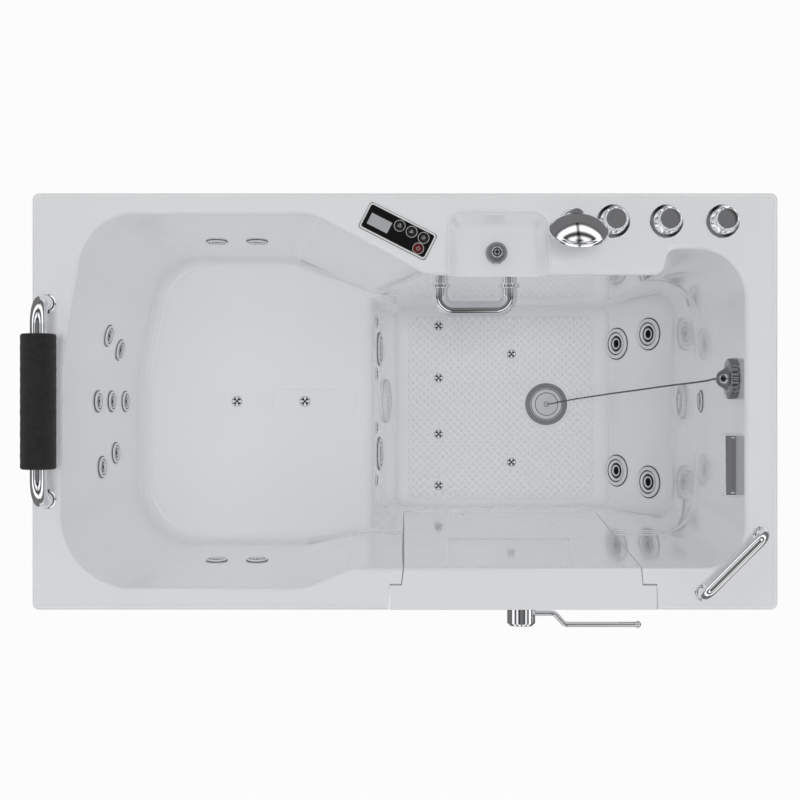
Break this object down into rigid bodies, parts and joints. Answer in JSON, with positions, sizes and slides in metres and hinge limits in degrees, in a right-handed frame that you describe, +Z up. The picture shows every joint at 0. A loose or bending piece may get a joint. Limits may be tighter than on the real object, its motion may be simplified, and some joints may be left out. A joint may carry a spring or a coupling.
{
  "type": "walk-in bathtub",
  "caption": "Walk-in hydromassage bathtub with a raised seat, an outward swinging door, grab bars, taps with a hand shower, and a wide deck.",
  "frame": {"origin": "middle of the footprint at floor level, under the centre foot", "axes": "+X from the back rest to the foot end, +Y from the door side to the wall side, +Z up"},
  "size_m": [1.3505, 0.813, 1.1287],
  "materials": {
    "shell": "glossy moulded acrylic",
    "skirt": "glossy sheet",
    "door": "glossy moulded acrylic",
    "seal": "soft matt",
    "chrome": "polished",
    "frame": "grey paint",
    "foam": "fine foam",
    "jet": "polished",
    "nozzle": "moulded",
    "panel_glass": "gloss black",
    "key": "gloss black",
    "red_key": "gloss red",
    "brass": "cast",
    "copper": "drawn tube",
    "pvc": "extruded",
    "black_plastic": "moulded",
    "grey_plastic": "moulded"
  },
  "bodies": {
    "tub": {"tub_shell": "shell", "base_frame": "frame", "levelling_feet": "black_plastic", "front_skirt": "skirt", "back_end_skirt": "skirt", "foot_end_skirt": "skirt", "skirt_screws": "chrome", "equipment_shelf": "frame", "fixed_hinge_leaves": "chrome", "hinge_pins": "chrome", "strike_cups": "chrome", "headrest_bar": "chrome", "headrest_pad": "foam", "bar_flanges": "chrome", "corner_grab_bar": "chrome", "wall_grab_bar": "chrome", "fill_spout": "chrome", "valve_flanges": "chrome", "valve_bodies": "brass", "supply_pipes": "copper", "shower_sleeve": "chrome", "waterfall_spout": "chrome", "overflow_cover": "chrome", "overflow_pipe": "pvc", "ball_chain": "chrome", "drain_flange": "chrome", "drain_body": "pvc", "waste_pipe": "pvc", "back_jets": "jet", "side_jets": "jet", "riser_jets": "jet", "foot_jets": "jet", "jet_nozzles": "nozzle", "air_jets": "jet", "suction_covers": "jet", "panel_bezel": "chrome", "panel_glass": "panel_glass", "water_pump": "black_plastic", "air_blower": "black_plastic", "control_box": "grey_plastic", "water_pipes": "pvc", "air_pipes": "pvc"},
    "door": {"door_outer": "door", "door_inner": "door", "door_seal": "seal", "door_hinge_leaves": "chrome", "latch_housing": "chrome"},
    "handle": {"handle_lever": "chrome", "latch_spindle": "chrome"},
    "latch": {"latch_bar": "frame"},
    "hot": {"hot_knob": "chrome"},
    "diverter": {"diverter_knob": "chrome"},
    "cold": {"cold_knob": "chrome"},
    "shower": {"hand_shower": "chrome", "shower_face": "grey_plastic"},
    "stopper": {"drain_stopper": "chrome"},
    "jets_button": {"jets_key": "key"},
    "air_button": {"air_key": "key"},
    "light_button": {"light_key": "key"},
    "power_button": {"power_key": "red_key"}
  },
  "joints": [
    {"name": "door_swing", "type": "hinge", "parent": "tub", "child": "door", "pos_m": [0.462, -0.384, 0.5], "axis": [0, 0, 1], "range_deg": [0, 90]},
    {"name": "handle_turn", "type": "hinge", "parent": "door", "child": "handle", "pos_m": [0.225, -0.354, 0.765], "axis": [0, 1, 0], "range_deg": [0, 90]},
    {"name": "latch_slide", "type": "slide", "parent": "door", "child": "latch", "axis": [-1, 0, 0], "range_m": [0, 0.014]},
    {"name": "hot_turn", "type": "hinge", "parent": "tub", "child": "hot", "pos_m": [0.3755, 0.325, 0.98], "axis": [0, 0, 1], "range_deg": [0, 90]},
    {"name": "diverter_turn", "type": "hinge", "parent": "tub", "child": "diverter", "pos_m": [0.4715, 0.325, 0.98], "axis": [0, 0, 1], "range_deg": [0, 90]},
    {"name": "cold_turn", "type": "hinge", "parent": "tub", "child": "cold", "pos_m": [0.573, 0.325, 0.98], "axis": [0, 0, 1], "range_deg": [0, 90]},
    {"name": "shower_lift", "type": "slide", "parent": "tub", "child": "shower", "axis": [0, 0, 1], "range_m": [0, 0.15]},
    {"name": "stopper_lift", "type": "slide", "parent": "tub", "child": "stopper", "axis": [0, 0, 1], "range_m": [0, 0.03], "deforming": ["ball_chain"]},
    {"name": "jets_press", "type": "slide", "parent": "tub", "child": "jets_button", "axis": [0, 0, -1], "range_m": [0, 0.0008], "stiffness_N_per_m": 300, "springref_m": -0.001},
    {"name": "air_press", "type": "slide", "parent": "tub", "child": "air_button", "axis": [0, 0, -1], "range_m": [0, 0.0008], "stiffness_N_per_m": 300, "springref_m": -0.001},
    {"name": "light_press", "type": "slide", "parent": "tub", "child": "light_button", "axis": [0, 0, -1], "range_m": [0, 0.0008], "stiffness_N_per_m": 300, "springref_m": -0.001},
    {"name": "power_press", "type": "slide", "parent": "tub", "child": "power_button", "axis": [0, 0, -1], "range_m": [0, 0.0008], "stiffness_N_per_m": 300, "springref_m": -0.001}
  ],
  "couplings": [
    {"joint": "latch_slide", "follows": "handle_turn", "m_per_rad": 0.0089127}
  ]
}
